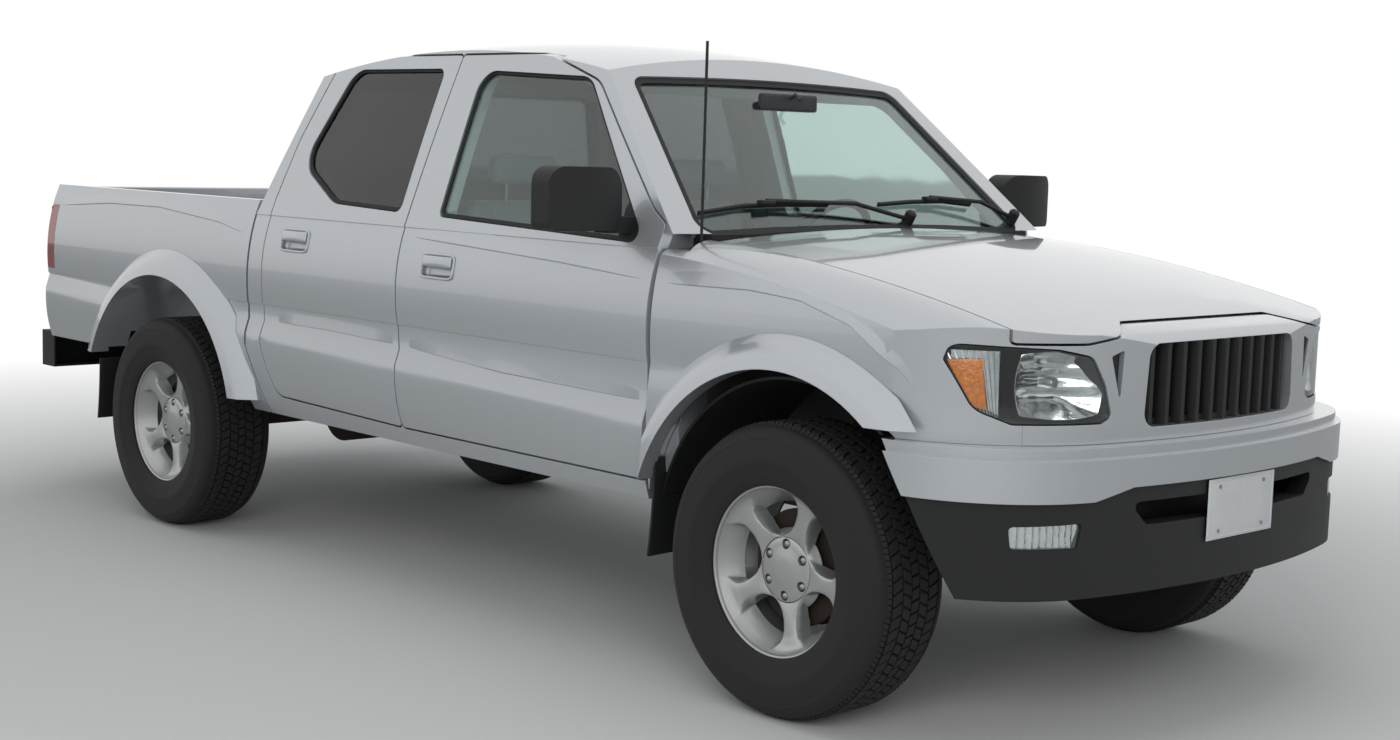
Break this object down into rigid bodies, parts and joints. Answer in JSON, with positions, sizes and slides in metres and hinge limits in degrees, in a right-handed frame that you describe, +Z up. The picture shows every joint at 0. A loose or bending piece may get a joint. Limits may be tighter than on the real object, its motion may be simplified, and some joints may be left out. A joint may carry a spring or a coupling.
{
  "type": "pickup truck",
  "caption": "Four-door pickup truck with an open cargo bed, upright-bar grille, wheel arch flares, star-spoke alloy wheels, black mirrors and a step rear bumper.",
  "frame": {"origin": "on the ground, midway along the truck's length and width", "axes": "+X forward along the truck, +Y to its left, +Z up"},
  "size_m": [4.98, 2.152, 1.7449],
  "materials": {
    "body_paint": "silver metallic paint, gloss",
    "clear_glass": "lightly green tinted glass",
    "dark_glass": "dark tinted glass",
    "black_plastic": "black textured plastic",
    "lamp_glass": "clear lamp lens",
    "red_lens": "red lens",
    "tyre": "black rubber",
    "alloy": "silver painted alloy",
    "dark_iron": "dark casting",
    "frame_steel": "black chassis paint",
    "pipe_steel": "dull steel",
    "grey_trim": "grey interior plastic",
    "seat_fabric": "grey woven fabric"
  },
  "bodies": {
    "truck": {"cab_shell": "body_paint", "windshield": "clear_glass", "rear_window": "dark_glass", "fender_left": "body_paint", "fender_right": "body_paint", "grille_surround": "body_paint", "grille": "black_plastic", "headlamps": "lamp_glass", "front_bumper": "body_paint", "front_valance": "black_plastic", "fog_lamps": "lamp_glass", "front_flares": "body_paint", "front_liners": "black_plastic", "cowl": "black_plastic", "cargo_bed": "body_paint", "tail_lamps": "red_lens", "rear_flares": "body_paint", "rear_bumper": "body_paint", "front_arms": "dark_iron", "rear_axle": "dark_iron", "leaf_springs": "dark_iron", "ladder_frame": "frame_steel", "engine": "dark_iron", "driveshaft": "frame_steel", "exhaust": "pipe_steel", "fuel_tank": "black_plastic", "dashboard": "grey_trim", "front_seats": "seat_fabric", "rear_bench": "seat_fabric"},
    "door_fl": {"door_front_left": "body_paint", "door_glass_front_left": "clear_glass", "mirror_left": "black_plastic"},
    "door_fr": {"door_front_right": "body_paint", "door_glass_front_right": "clear_glass", "mirror_right": "black_plastic"},
    "door_rl": {"door_rear_left": "body_paint", "door_glass_rear_left": "dark_glass"},
    "door_rr": {"door_rear_right": "body_paint", "door_glass_rear_right": "dark_glass"},
    "hood_lid": {"hood": "body_paint"},
    "tailgate_lid": {"tailgate": "body_paint"},
    "knuckle_l": {"knuckle_left": "dark_iron"},
    "knuckle_r": {"knuckle_right": "dark_iron"},
    "wheel_fl": {"tyre_front_left": "tyre", "rim_front_left": "alloy"},
    "wheel_fr": {"tyre_front_right": "tyre", "rim_front_right": "alloy"},
    "wheel_rl": {"tyre_rear_left": "tyre", "rim_rear_left": "alloy"},
    "wheel_rr": {"tyre_rear_right": "tyre", "rim_rear_right": "alloy"},
    "steering": {"steering_wheel": "grey_trim"}
  },
  "joints": [
    {"name": "door_front_left_hinge", "type": "hinge", "parent": "truck", "child": "door_fl", "pos_m": [1.21, 0.845, 0.85], "axis": [0, 0, -1], "range_deg": [0, 65]},
    {"name": "door_front_right_hinge", "type": "hinge", "parent": "truck", "child": "door_fr", "pos_m": [1.21, -0.845, 0.85], "axis": [0, 0, 1], "range_deg": [0, 65]},
    {"name": "door_rear_left_hinge", "type": "hinge", "parent": "truck", "child": "door_rl", "pos_m": [0.05, 0.845, 0.85], "axis": [0, 0, -1], "range_deg": [0, 65]},
    {"name": "door_rear_right_hinge", "type": "hinge", "parent": "truck", "child": "door_rr", "pos_m": [0.05, -0.845, 0.85], "axis": [0, 0, 1], "range_deg": [0, 65]},
    {"name": "hood_hinge", "type": "hinge", "parent": "truck", "child": "hood_lid", "pos_m": [1.28, 0, 1.172], "axis": [0, -1, 0], "range_deg": [0, 50]},
    {"name": "tailgate_hinge", "type": "hinge", "parent": "truck", "child": "tailgate_lid", "pos_m": [-2.334, 0, 0.664], "axis": [0, -1, 0], "range_deg": [0, 90]},
    {"name": "steer_left", "type": "hinge", "parent": "truck", "child": "knuckle_l", "pos_m": [1.7, 0.691, 0.376], "axis": [0, 0, 1], "range_deg": [-30, 30]},
    {"name": "steer_right", "type": "hinge", "parent": "truck", "child": "knuckle_r", "pos_m": [1.7, -0.691, 0.376], "axis": [0, 0, 1], "range_deg": [-30, 30]},
    {"name": "steering_turn", "type": "hinge", "parent": "truck", "child": "steering", "pos_m": [0.69, 0.38, 1.09], "axis": [-0.9063, 0, 0.4226], "range_deg": [-480, 480]},
    {"name": "spin_front_left", "type": "hinge", "parent": "knuckle_l", "child": "wheel_fl", "pos_m": [1.7, 0.753, 0.376], "axis": [0, 1, 0], "continuous": true},
    {"name": "spin_front_right", "type": "hinge", "parent": "knuckle_r", "child": "wheel_fr", "pos_m": [1.7, -0.753, 0.376], "axis": [0, 1, 0], "continuous": true},
    {"name": "spin_rear_left", "type": "hinge", "parent": "truck", "child": "wheel_rl", "pos_m": [-1.396, 0.753, 0.376], "axis": [0, 1, 0], "continuous": true},
    {"name": "spin_rear_right", "type": "hinge", "parent": "truck", "child": "wheel_rr", "pos_m": [-1.396, -0.753, 0.376], "axis": [0, 1, 0], "continuous": true}
  ],
  "couplings": [
    {"joint": "steer_right", "follows": "steer_left", "ratio": 1},
    {"joint": "steering_turn", "follows": "steer_left", "ratio": 16}
  ]
}
